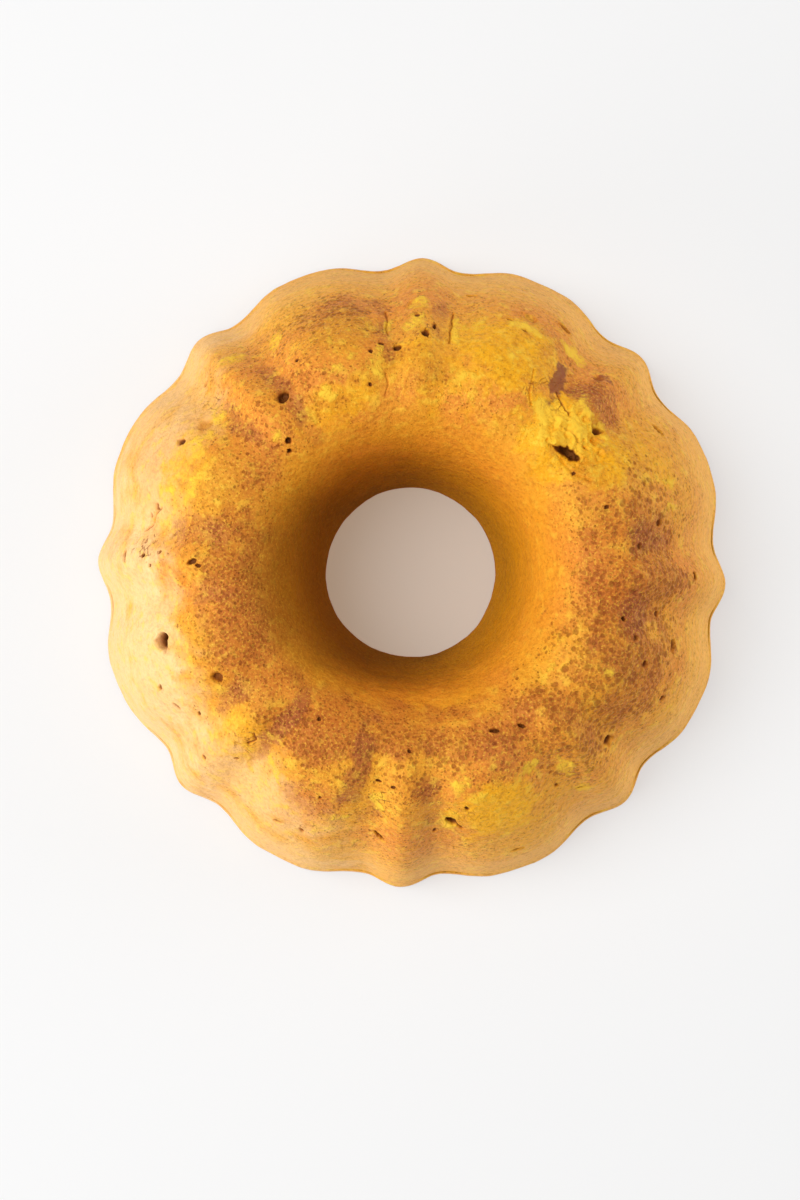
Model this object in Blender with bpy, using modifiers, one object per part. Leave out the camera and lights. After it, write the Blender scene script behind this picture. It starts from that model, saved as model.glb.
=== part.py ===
"""A fluted ring cake: one baked ring with a funnel through its middle, eight broad lobes and
eight narrow ridges between them, a low foot where the crust met the lip of the tin, the air
holes that broke its crust, and one torn patch on the crown.

Metres, +Z up. The cake stands on z = 0, its funnel is on the Z axis, and a narrow ridge
points along +X. Bearings are degrees from +X towards +Y.
"""

import math

import bmesh
import bpy
import numpy as np
from mathutils import Matrix, Vector, noise
from mathutils.bvhtree import BVHTree
from mathutils.geometry import interpolate_bezier, intersect_line_line

MM = 0.001

# The ring, as it stands
RIM_RADIUS = 121.6 * MM  # to the tops of the broad lobes, at the foot
FUNNEL_RADIUS = 32.6 * MM  # the funnel's narrow end, at the underside
CROWN_RADIUS = 70.5 * MM  # the highest circle of the crown
HEIGHT = 80.0 * MM
SHOULDER_RADIUS = 84.5 * MM  # where the crown's round top meets the flatter side
SHOULDER_HEIGHT = 75.0 * MM
SHOULDER_SLOPE = math.radians(40.0)
OUTER_DRAFT = math.radians(15.0)  # the tin's taper outside
OUTER_WALL_TOP = 25.5 * MM  # where the straight outer wall ends
FUNNEL_DRAFT = math.radians(11.5)  # the taper of the tin's tube
FUNNEL_WALL_TOP = 46.0 * MM
FOOT_STEP = 1.2 * MM  # how far the foot stands out of the wall
FOOT_HEIGHT = 3.0 * MM
UNDER_ROUND = 2.2 * MM  # the rounding between the walls and the underside
ROUNDNESS = 0.62  # a curve's handle, as a share of the way to its corner

# The flutes
FLUTES = 8
PITCH = 2.0 * math.pi / FLUTES
RIDGE_SHARE = 1.0 / 3.0  # of the pitch, from valley to valley
FLUTE_DEPTH = 4.6 * MM  # from a lobe's top down to the valley
RIDGE_HEIGHT = 0.93  # of the lobes' height
LOBE_FULLNESS = 5.0
FLUTES_START = 43.0 * MM  # radius on the crown where the valleys begin
FLUTES_FULL = 91.0 * MM  # radius where they reach their full depth

# The uneven bake
BROAD_SWELL = 0.9 * MM
BROAD_SPREAD = 46.0 * MM
SMALL_SWELL = 0.35 * MM
SMALL_SPREAD = 13.0 * MM

# The mesh
TURN_STEPS = 24 * FLUTES  # so that every flute is cut alike
MOUTH_STEPS = 7  # from the funnel's wall up to the crown
CROWN_STEPS = 4  # from the crown to the shoulder
SIDE_STEPS = 5  # from the shoulder to the outer wall
WALL_STEPS = 2
ROUND_STEPS = 2
SHARP_ANGLE = math.radians(50.0)  # a steeper bend shows as an edge

# The torn patch, where the crust stayed in the tin
TEAR_BEARING = 41.0
TEAR_RADIUS = 76.0 * MM
TEAR_HALF_LENGTH = 17.0 * MM  # across the bearing
TEAR_HALF_WIDTH = 13.0 * MM  # along the bearing
TEAR_EDGE = 2.4  # how steeply the crust ends round it
TEAR_DEPTH = 1.5 * MM
TEAR_LUMP = 2.6 * MM
TEAR_LUMP_SPREAD = 5.5 * MM

# The air holes: bearing in degrees, then radius from the axis, width, length and depth in
# millimetres, and the turn of the long side from the bearing in degrees
AIR_HOLES = (
    (198, 94, 7.4, 8.4, 4.4, 0),
    (129, 78, 4.8, 6.8, 2.6, -37),
    (39, 68.5, 4.4, 11.0, 4.0, -62),
    (39, 83, 2.8, 6.4, 2.2, -47),
    (60, 106, 3.6, 6.6, 3.0, 87),
    (32, 106, 3.0, 6.4, 1.8, 92),
    (321, 97, 4.6, 5.2, 2.2, 40),
    (211, 80, 4.6, 5.2, 2.0, 20),
    (179, 106, 3.4, 4.8, 3.0, 93),
    (153, 95, 3.2, 4.6, 1.8, 10),
    (281, 94, 4.0, 6.0, 2.4, 33),
    (265, 100, 2.4, 6.4, 2.2, 45),
    (293, 110, 2.6, 5.4, 2.2, 84),
    (89, 85, 3.4, 4.2, 2.4, 0),
    (96, 81, 3.4, 3.8, 2.0, 0),
    (346, 100, 3.4, 5.0, 1.8, 75),
)
HOLE_TURNS = 10  # the sides of a hole's cutter
HOLE_RINGS = 6
HOLE_LIFT = 0.35  # how far a cutter's middle stands above the crust, as a share of its depth


def clear_scene():
    """Take out whatever the file opened with."""
    for thing in list(bpy.data.objects):
        bpy.data.objects.remove(thing, do_unlink=True)


def new_collection(name):
    """Make a collection under the scene's own."""
    made = bpy.data.collections.new(name)
    bpy.context.scene.collection.children.link(made)
    return made


def ease(share):
    """A smooth step from 0 to 1."""
    share = np.clip(share, 0.0, 1.0)
    return share * share * (3.0 - 2.0 * share)


def polar(bearing, radius, height=0.0):
    """The point at a bearing in degrees and a radius from the axis."""
    angle = math.radians(bearing)
    return Vector((radius * math.cos(angle), radius * math.sin(angle), height))


# The section


def straight(start, end, steps):
    """Points from start towards end, without the end."""
    return [start.lerp(end, step / steps) for step in range(steps)]


def rounded(start, corner, end, steps):
    """Points of a curve that leaves start for the corner and reaches end from it, without the end."""
    points = interpolate_bezier(
        start, start.lerp(corner, ROUNDNESS), end.lerp(corner, ROUNDNESS), end, steps + 1
    )
    return points[:-1]


def crossing(point, on_line, other, on_other):
    """Where the line through the first two points meets the line through the last two."""
    return intersect_line_line(point, on_line, other, on_other)[0]


def section():
    """The ring's section over the lobes, as (radius, 0, height), once round from the underside
    up the funnel, over the crown and down the outer wall."""
    funnel_slope = math.tan(FUNNEL_DRAFT)
    funnel_foot = Vector((FUNNEL_RADIUS, 0.0, UNDER_ROUND))
    funnel_top = Vector((FUNNEL_RADIUS + funnel_slope * FUNNEL_WALL_TOP, 0.0, FUNNEL_WALL_TOP))
    funnel_corner = Vector((funnel_top.x + funnel_slope * (HEIGHT - funnel_top.z), 0.0, HEIGHT))
    crown = Vector((CROWN_RADIUS, 0.0, HEIGHT))
    shoulder = Vector((SHOULDER_RADIUS, 0.0, SHOULDER_HEIGHT))
    shoulder_run = (HEIGHT - SHOULDER_HEIGHT) / math.tan(SHOULDER_SLOPE)
    crown_corner = Vector((SHOULDER_RADIUS - shoulder_run, 0.0, HEIGHT))
    wall_foot = Vector((RIM_RADIUS - FOOT_STEP, 0.0, 2.0 * FOOT_HEIGHT))
    wall_slope = math.tan(OUTER_DRAFT)
    wall_top = Vector((wall_foot.x - wall_slope * (OUTER_WALL_TOP - wall_foot.z), 0.0, OUTER_WALL_TOP))
    side_corner = crossing(shoulder, crown_corner, wall_top, wall_foot)
    foot_edge = Vector((RIM_RADIUS, 0.0, FOOT_HEIGHT))
    rim_under = Vector((RIM_RADIUS - UNDER_ROUND, 0.0, 0.0))
    funnel_under = Vector((FUNNEL_RADIUS + UNDER_ROUND, 0.0, 0.0))
    return [
        *rounded(funnel_under, Vector((FUNNEL_RADIUS, 0.0, 0.0)), funnel_foot, ROUND_STEPS),
        *straight(funnel_foot, funnel_top, WALL_STEPS),
        *rounded(funnel_top, funnel_corner, crown, MOUTH_STEPS),
        *rounded(crown, crown_corner, shoulder, CROWN_STEPS),
        *rounded(shoulder, side_corner, wall_top, SIDE_STEPS),
        *straight(wall_top, wall_foot, WALL_STEPS),
        wall_foot,
        *rounded(foot_edge, Vector((RIM_RADIUS, 0.0, 0.0)), rim_under, ROUND_STEPS),
        rim_under,
    ]


def turned_ring(outline):
    """Turn the closed section once round the axis, and hand back the mesh."""
    profile = bpy.data.meshes.new("section")
    count = len(outline)
    profile.from_pydata(outline, [(i, (i + 1) % count) for i in range(count)], [])
    turned = bpy.data.objects.new("turned_section", profile)
    bpy.context.scene.collection.objects.link(turned)
    screw = turned.modifiers.new("turn", "SCREW")
    screw.axis = "Z"
    screw.angle = 2.0 * math.pi
    screw.steps = TURN_STEPS
    screw.render_steps = TURN_STEPS
    screw.use_merge_vertices = True
    screw.merge_threshold = 0.01 * MM
    bpy.context.view_layer.update()
    graph = bpy.context.evaluated_depsgraph_get()
    mesh = bpy.data.meshes.new_from_object(turned.evaluated_get(graph))
    bpy.data.objects.remove(turned, do_unlink=True)
    bpy.data.meshes.remove(profile)
    return mesh


# The relief


def flute_fullness(angle):
    """How full the flutes are at an angle: 1 on top of a lobe, 0 in a valley."""
    across = np.abs((angle / PITCH + 0.5) % 1.0 - 0.5)  # 0 on a ridge, half a pitch on a lobe
    half_ridge = RIDGE_SHARE / 2.0
    half_lobe = 0.5 - half_ridge
    ridge = RIDGE_HEIGHT * np.cos(0.5 * math.pi * np.clip(across / half_ridge, 0.0, 1.0)) ** 2
    into_lobe = np.clip((across - half_ridge) / half_lobe, 0.0, 1.0)
    lobe = 1.0 - (1.0 - into_lobe**2) ** LOBE_FULLNESS
    return np.where(across < half_ridge, ridge, lobe)


def facing(points, normals):
    """Which way each point is pushed: square to the ring, and level near the underside, which
    so stays flat."""
    ways = normals.copy()
    ways[points[:, 2] < 2.0 * FOOT_HEIGHT, 2] = 0.0
    return ways / np.linalg.norm(ways, axis=1)[:, None]


def swell(points):
    """How far the crust stands out of the even form at each point."""
    found = []
    for point in points:
        place = Vector(point)
        broad = noise.noise(place / BROAD_SPREAD)
        small = noise.noise(place / SMALL_SPREAD)
        found.append(BROAD_SWELL * broad + SMALL_SWELL * small)
    return np.array(found)


def tear_cover(points):
    """How much of the torn patch covers each point, from 0 outside it to 1 well inside."""
    middle = polar(TEAR_BEARING, TEAR_RADIUS)
    along = polar(TEAR_BEARING, 1.0)
    from_middle = points[:, :2] - np.array(middle.xy)
    radial = from_middle @ np.array(along.xy)
    across = from_middle @ np.array((-along.y, along.x))
    reach = np.hypot(radial / TEAR_HALF_WIDTH, across / TEAR_HALF_LENGTH)
    on_crown = points[:, 2] > 0.5 * HEIGHT
    return ease(TEAR_EDGE * (1.0 - reach)) * on_crown


def relief(points, normals):
    """Move the even ring's points out to the fluted, uneven and torn cake."""
    radius = np.hypot(points[:, 0], points[:, 1])
    angle = np.arctan2(points[:, 1], points[:, 0])
    depth = FLUTE_DEPTH * ease((radius - FLUTES_START) / (FLUTES_FULL - FLUTES_START))
    push = swell(points) - depth * (1.0 - flute_fullness(angle))
    lumps = np.array([noise.noise(Vector(point) / TEAR_LUMP_SPREAD) for point in points])
    push += tear_cover(points) * (TEAR_LUMP * lumps - TEAR_DEPTH)
    return points + push[:, None] * facing(points, normals)


def shape_mesh(mesh):
    """Give the turned ring its flutes, swells and torn patch, with more faces in the patch."""
    work = bmesh.new()
    work.from_mesh(mesh)
    bmesh.ops.recalc_face_normals(work, faces=work.faces)
    centres = np.array([face.calc_center_median() for face in work.faces])
    torn = tear_cover(centres) > 0.0
    edges = {edge for face, inside in zip(list(work.faces), torn) if inside for edge in face.edges}
    bmesh.ops.subdivide_edges(work, edges=list(edges), cuts=1, use_grid_fill=True)
    bmesh.ops.triangulate(work, faces=[face for face in work.faces if len(face.verts) > 4])
    work.normal_update()
    points = np.array([vertex.co for vertex in work.verts])
    normals = np.array([vertex.normal for vertex in work.verts])
    for vertex, place in zip(work.verts, relief(points, normals)):
        vertex.co = place
    work.to_mesh(mesh)
    work.free()


# The air holes


def crust_under(tree, place):
    """The crust's point and its outward face direction straight below a place."""
    point, normal, _, _ = tree.ray_cast(Vector((place.x, place.y, 2.0 * HEIGHT)), Vector((0, 0, -1)))
    return point, normal


def add_hole_cutter(cutters, tree, number, hole):
    """Add the round-bottomed cutter of one air hole, square to the crust at its place."""
    bearing, radius, width, length, depth, turn = hole
    point, normal = crust_under(tree, polar(bearing, radius * MM))
    bpy.ops.mesh.primitive_uv_sphere_add(segments=HOLE_TURNS, ring_count=HOLE_RINGS, radius=0.5)
    cutter = bpy.context.object
    cutter.name = f"hole_cutter_{number:02d}"
    along = polar(bearing + turn, 1.0)
    along = (along - along.dot(normal) * normal).normalized()
    axes = Matrix((along.cross(normal), along, normal)).transposed().to_4x4()
    # The cutter is widest a little above the crust, so its length and width are set there.
    deep = depth * MM * 2.0 * (1.0 + HOLE_LIFT)
    widen = 1.0 / math.sqrt(1.0 - (HOLE_LIFT / (1.0 + HOLE_LIFT)) ** 2)
    size = Matrix.Diagonal((width * MM * widen, length * MM * widen, deep, 1.0))
    middle = Matrix.Translation(point + normal * depth * MM * HOLE_LIFT)
    cutter.data.transform(middle @ axes @ size)
    for home in list(cutter.users_collection):
        home.objects.unlink(cutter)
    cutters.objects.link(cutter)
    cutter.hide_render = True
    cutter.display_type = "WIRE"


def cut_air_holes(cake, cutters):
    """Sink every air hole into the crust with one Boolean."""
    tree = BVHTree.FromObject(cake, bpy.context.evaluated_depsgraph_get())
    for number, hole in enumerate(AIR_HOLES):
        add_hole_cutter(cutters, tree, number, hole)
    cut = cake.modifiers.new("air_holes", "BOOLEAN")
    cut.operation = "DIFFERENCE"
    cut.operand_type = "COLLECTION"
    cut.collection = cutters


# The finish


def crust_material():
    """Golden brown crust, matt as a bare baked cake is."""
    material = bpy.data.materials.new("golden_crust")
    material.use_nodes = True
    shader = material.node_tree.nodes["Principled BSDF"]
    shader.inputs["Base Color"].default_value = (0.60, 0.27, 0.045, 1.0)
    shader.inputs["Roughness"].default_value = 0.62
    shader.inputs["Metallic"].default_value = 0.0
    return material


def build_cake(collection, cutters):
    """Build the cake and stand it on z = 0."""
    mesh = turned_ring(section())
    shape_mesh(mesh)
    mesh.name = "cake"
    cake = bpy.data.objects.new("cake", mesh)
    collection.objects.link(cake)
    mesh.materials.append(crust_material())
    mesh.shade_smooth()
    mesh.set_sharp_from_angle(angle=SHARP_ANGLE)
    bpy.context.view_layer.update()
    cut_air_holes(cake, cutters)
    return cake


def main():
    """Build the whole object."""
    clear_scene()
    collection = new_collection("fluted_ring_cake")
    cutters = new_collection("cutters")
    build_cake(collection, cutters)


main()
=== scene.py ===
"""The looks of a fluted ring cake: its dense baked crust, and the studio that it stands in.

The crust is one turned mesh with the same lobes, ridges and swells as the solid cake that it
stands for. Air holes, cracks, the torn patch and small lumps are moved into it, and the tints
of the bake are painted on its points for one node-built finish to read. Some of its colour is
painted light and shade: shade in the funnel, the valleys and the holes, and light on the side
toward the lamps and on the lower wall.

Metres, +Z up. Bearings are degrees from +X towards +Y, and a mark's radius is its distance
from the funnel's axis before the flutes are pressed in.
"""

from __future__ import annotations

import logging
import math
from dataclasses import dataclass, field
from enum import Enum
from typing import Any, Mapping, Sequence

import bpy
import numpy as np
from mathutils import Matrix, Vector, noise
from mathutils.geometry import interpolate_bezier, intersect_line_line

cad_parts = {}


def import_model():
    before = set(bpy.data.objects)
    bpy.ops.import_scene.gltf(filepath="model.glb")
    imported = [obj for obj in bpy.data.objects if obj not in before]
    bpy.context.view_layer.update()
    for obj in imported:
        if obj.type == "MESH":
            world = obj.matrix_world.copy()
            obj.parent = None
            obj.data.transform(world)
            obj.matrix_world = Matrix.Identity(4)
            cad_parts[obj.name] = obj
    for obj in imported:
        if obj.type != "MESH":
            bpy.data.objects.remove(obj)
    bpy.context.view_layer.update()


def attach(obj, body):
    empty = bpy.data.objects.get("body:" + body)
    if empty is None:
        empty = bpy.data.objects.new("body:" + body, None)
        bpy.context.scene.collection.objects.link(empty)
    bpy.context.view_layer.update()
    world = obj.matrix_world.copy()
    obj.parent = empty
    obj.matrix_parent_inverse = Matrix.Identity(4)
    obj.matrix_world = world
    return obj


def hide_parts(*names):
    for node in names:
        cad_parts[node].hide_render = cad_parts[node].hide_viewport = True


LOG = logging.getLogger("ring_cake")
MM = 0.001
NODE = "cake"


def ease(share: np.ndarray) -> np.ndarray:
    """Smooth step from 0 to 1."""
    share = np.clip(share, 0.0, 1.0)
    return share * share * (3.0 - 2.0 * share)


def lumps(points: np.ndarray, spread: float) -> np.ndarray:
    """Soft noise at each point.

    Args:
        points: One row for each point, in metres.
        spread: About the distance from one lump to the next.

    Returns:
        A value for each point, from about -1 to 1.
    """
    return np.array([noise.noise(Vector(point)) for point in points / spread])


def polar(bearing: float, radius: float, height: float = 0.0) -> Vector:
    """The point at a bearing in degrees and a radius from the axis."""
    angle = math.radians(bearing)
    return Vector((radius * math.cos(angle), radius * math.sin(angle), height))


def read_rows(items: Any, name: str) -> np.ndarray:
    """Read three numbers from each item of a mesh, such as its place, into a row for each."""
    rows = np.empty(len(items) * 3, np.float32)
    items.foreach_get(name, rows)
    return rows.reshape(-1, 3).astype(float)


class Tint(Enum):
    """What a patch of the crust is painted with, and the name of its point attribute."""

    BROWN = "brown"
    PALE_AND_LIT = "pale"
    YELLOW = "yellow"
    CRUMB = "crumb"
    SCAR = "scar"
    CRACKED = "cracked"
    STAIN_AND_SHADE = "stain_and_shade"
    OLIVE = "olive"
    PORED = "pored"


@dataclass(frozen=True)
class Patch:
    """A soft-edged patch of a tint. Its sizes are in millimetres."""

    bearing: float
    radius: float
    half_across: float
    half_along: float
    strength: float = 1.0
    turn: float = 0.0


@dataclass(frozen=True)
class Hollow:
    """An air hole or a dent. Its sizes are in millimetres.

    The long side lies along the bearing, turned by the given degrees. How dark it is runs from
    0 for a bare dent to 1 for a deep hole: a warm rim in the crust's own colour, and painted
    shade in the middle of the deeper ones.
    """

    bearing: float
    radius: float
    width: float
    length: float
    depth: float
    turn: float = 0.0
    dark: float = 1.0


@dataclass(frozen=True)
class Crack:
    """A groove along a line of (bearing, radius) points. Its sizes are in millimetres."""

    line: tuple[tuple[float, float], ...]
    width: float = 1.1
    depth: float = 1.0
    dark: float = 0.8


@dataclass(frozen=True)
class Side:
    """The form of a mark's side, with distances from its middle as shares of its half width."""

    reach: float
    ragged: float
    edge: float
    slope: float
    dark_edge: float
    dark_slope: float
    lip: float = 0.0
    lip_place: float = 1.2
    lip_width: float = 0.2

    def sunk(self, away: np.ndarray) -> np.ndarray:
        """The share of the mark's depth at each distance, without its raised lip."""
        return ease((self.edge - away) / self.slope)

    def raised(self, away: np.ndarray) -> np.ndarray:
        """The lip's height at each distance, as a share of the mark's depth."""
        return self.lip * np.exp(-(((away - self.lip_place) / self.lip_width) ** 2))

    def dark(self, away: np.ndarray) -> np.ndarray:
        """The share of the mark's darkness at each distance."""
        return ease((self.dark_edge - away) / self.dark_slope)


HOLLOW_SIDE = Side(reach=2.0, ragged=0.35, edge=1.08, slope=0.6, dark_edge=1.05, dark_slope=0.45, lip=0.07)
CRACK_SIDE = Side(reach=2.5, ragged=0.5, edge=1.3, slope=1.0, dark_edge=1.2, dark_slope=1.0)
AIR_HOLES = (
    Hollow(198, 94, 7.2, 8, 5.6),
    Hollow(129, 78, 4.8, 6.8, 2.6, -37),
    Hollow(39, 68.5, 4.6, 13, 4, -62),
    Hollow(39.5, 85.5, 2.6, 8, 1.8, -40, 0.75),
    Hollow(60, 106, 3.6, 6.6, 3, 87),
    Hollow(32, 106, 3, 6.4, 1.8, 92, 0.7),
    Hollow(321, 97, 4.6, 5.2, 2.2, 40, 0.8),
    Hollow(211, 80, 4.6, 5.2, 2, 20, 0.7),
    Hollow(179, 106, 3.4, 4.8, 3, 93),
    Hollow(153, 95, 3.2, 4.6, 1.8, 10, 0.8),
    Hollow(281, 94, 4, 6, 2.4, 33),
    Hollow(265, 100, 2.4, 6.4, 2.2, 45, 0.9),
    Hollow(293, 110, 2.6, 5.4, 2.2, 84),
    Hollow(89, 85, 3.4, 4.2, 2.4),
    Hollow(96, 81, 3.4, 3.8, 2),
    Hollow(346, 100, 3.4, 5, 1.8, 75, 0.7),
)
SMALL_HOLES = (
    Hollow(180, 78.5, 2.2, 4.8, 1.7, 20),
    Hollow(181, 76, 1.6, 2.6, 1.2, -10),
    Hollow(136, 63, 2.6, 3.2, 2),
    Hollow(138, 60, 1.9, 2.4, 1.8),
    Hollow(299, 63.6, 1.9, 4.4, 1.8, 60),
    Hollow(307, 67, 1.7, 3.8, 1.6, 30),
    Hollow(271, 64, 1.7, 1.9, 1.2),
    Hollow(80, 107, 1.7, 4.6, 1.4, 88, 0.9),
    Hollow(335, 102, 2.4, 2.8, 1.4, 0, 0.9),
    Hollow(1, 104, 2.3, 3.4, 1.8, 90),
    Hollow(140, 105, 2.4, 3, 1.4, 0, 0.6),
    Hollow(168, 97, 2.8, 3.4, 1.2, 60, 0.6),
    Hollow(170, 100, 2, 3, 1, -40, 0.5),
    Hollow(229, 95, 1.9, 1.9, 1.4),
    Hollow(224, 102, 2.4, 2.6, 1.3, 0, 0.7),
    Hollow(207, 101, 2, 4.2, 1.3, 25, 0.65),
    Hollow(212, 100.5, 3.6, 2.6, 1.4, 10, 0.65),
    Hollow(244, 104, 4, 2.2, 1.3, 20, 0.65),
    Hollow(249, 103, 2, 3.6, 1.2, 40, 0.65),
    Hollow(179, 98, 1.7, 3, 1.1, 10),
    Hollow(181, 95, 1.5, 2, 1, 0, 0.8),
    Hollow(178, 92, 1.6, 2.4, 1, 30, 0.7),
    Hollow(263, 77, 1.5, 2.6, 1, 70),
    Hollow(267, 78, 1.5, 2.2, 1, -60),
    Hollow(91, 92, 2, 2.4, 1.2),
    Hollow(87, 89, 1.6, 3.6, 1.2, 0, 0.9),
    Hollow(100, 84, 2.4, 2.8, 1.6, 40),
    Hollow(103, 80, 2, 2.4, 1.2),
    Hollow(67, 95, 1.6, 3, 1, 80, 0.8),
    Hollow(71, 97, 1.4, 2.4, 0.9, 90, 0.8),
    Hollow(13, 92, 3.2, 3.6, 1.2, 0, 0.7),
    Hollow(8, 84, 2.6, 3, 1, 0, 0.7),
    Hollow(349, 78, 1.8, 2.6, 1.4),
    Hollow(345, 84, 2.4, 2.8, 1, 0, 0.7),
    Hollow(340, 90, 2.8, 3, 1.1, 0, 0.7),
    Hollow(352, 93, 2.6, 3, 1, 0, 0.7),
    Hollow(121, 86, 1.5, 2, 0.9),
    Hollow(105, 67, 1.5, 2, 0.9),
    Hollow(33, 66, 1.5, 1.8, 0.9),
    Hollow(20, 72, 1.6, 2.2, 1),
    Hollow(240, 62, 1.6, 2, 0.9),
    Hollow(216, 96, 1.6, 2.4, 0.9, 30, 0.8),
    Hollow(250, 88, 1.5, 2, 0.9, 0, 0.8),
    Hollow(285, 88, 1.6, 2.4, 1, 30),
    Hollow(277, 98, 1.6, 2.8, 1, -20),
    Hollow(310, 103, 1.6, 4, 1.1, 80, 0.7),
    Hollow(306, 97, 1.8, 2.6, 1, 20, 0.6),
)
DENTS = (
    Hollow(147, 93, 5.6, 6.4, 1.3, 20, 0.28),
    Hollow(184, 84, 5.4, 6, 1.2, 0, 0.26),
    Hollow(180, 90, 4, 5.4, 0.9, 0, 0.2),
    Hollow(67, 101, 5, 7, 1.2, 80, 0.22),
    Hollow(205, 89, 5, 6, 0.7, 0, 0.1),
    Hollow(160, 88, 6, 7, 0.8, 30, 0.05),
    Hollow(302, 84, 6, 8, 0.9, 20, 0.1),
    Hollow(236, 90, 5, 7, 0.6, 50, 0.1),
    Hollow(92, 97, 5, 6, 0.7, 0, 0.1),
    Hollow(48, 98, 5.5, 4, 1.1, 80, 0.5),
)
CRACKS = (
    Crack(((83, 85), (82.8, 87), (83.2, 90), (82.8, 93), (83.2, 95), (83, 98)), 1, 0.9, 0.35),
    Crack(((98, 88), (98.3, 91), (97.8, 94), (98, 98)), 0.9, 0.8, 0.3),
    Crack(((101, 62), (99.5, 66), (100, 70)), 0.9, 0.6, 0.2),
    Crack(((61, 84), (60, 80), (59, 76), (56.5, 72)), 0.9, 0.6, 0.15),
    Crack(((53, 84), (50, 81), (47, 80)), 1, 0.8, 0.5),
    Crack(((46, 66), (42, 64.8), (38, 64.6), (33, 66), (29, 70)), 1.3, 0.9, 0.1),
    Crack(((46, 74), (43, 75.5), (40, 75), (36, 77)), 1, 0.7, 0.25),
    Crack(((228, 82), (229.5, 84.5), (228.5, 87)), 1.1, 0.8, 0.6),
    Crack(((168, 95), (169.5, 98), (172, 99), (173.5, 102)), 1.1, 0.8, 0.5),
    Crack(((280.5, 93), (283, 96.5)), 1.2, 0.9, 0.8),
)
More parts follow.
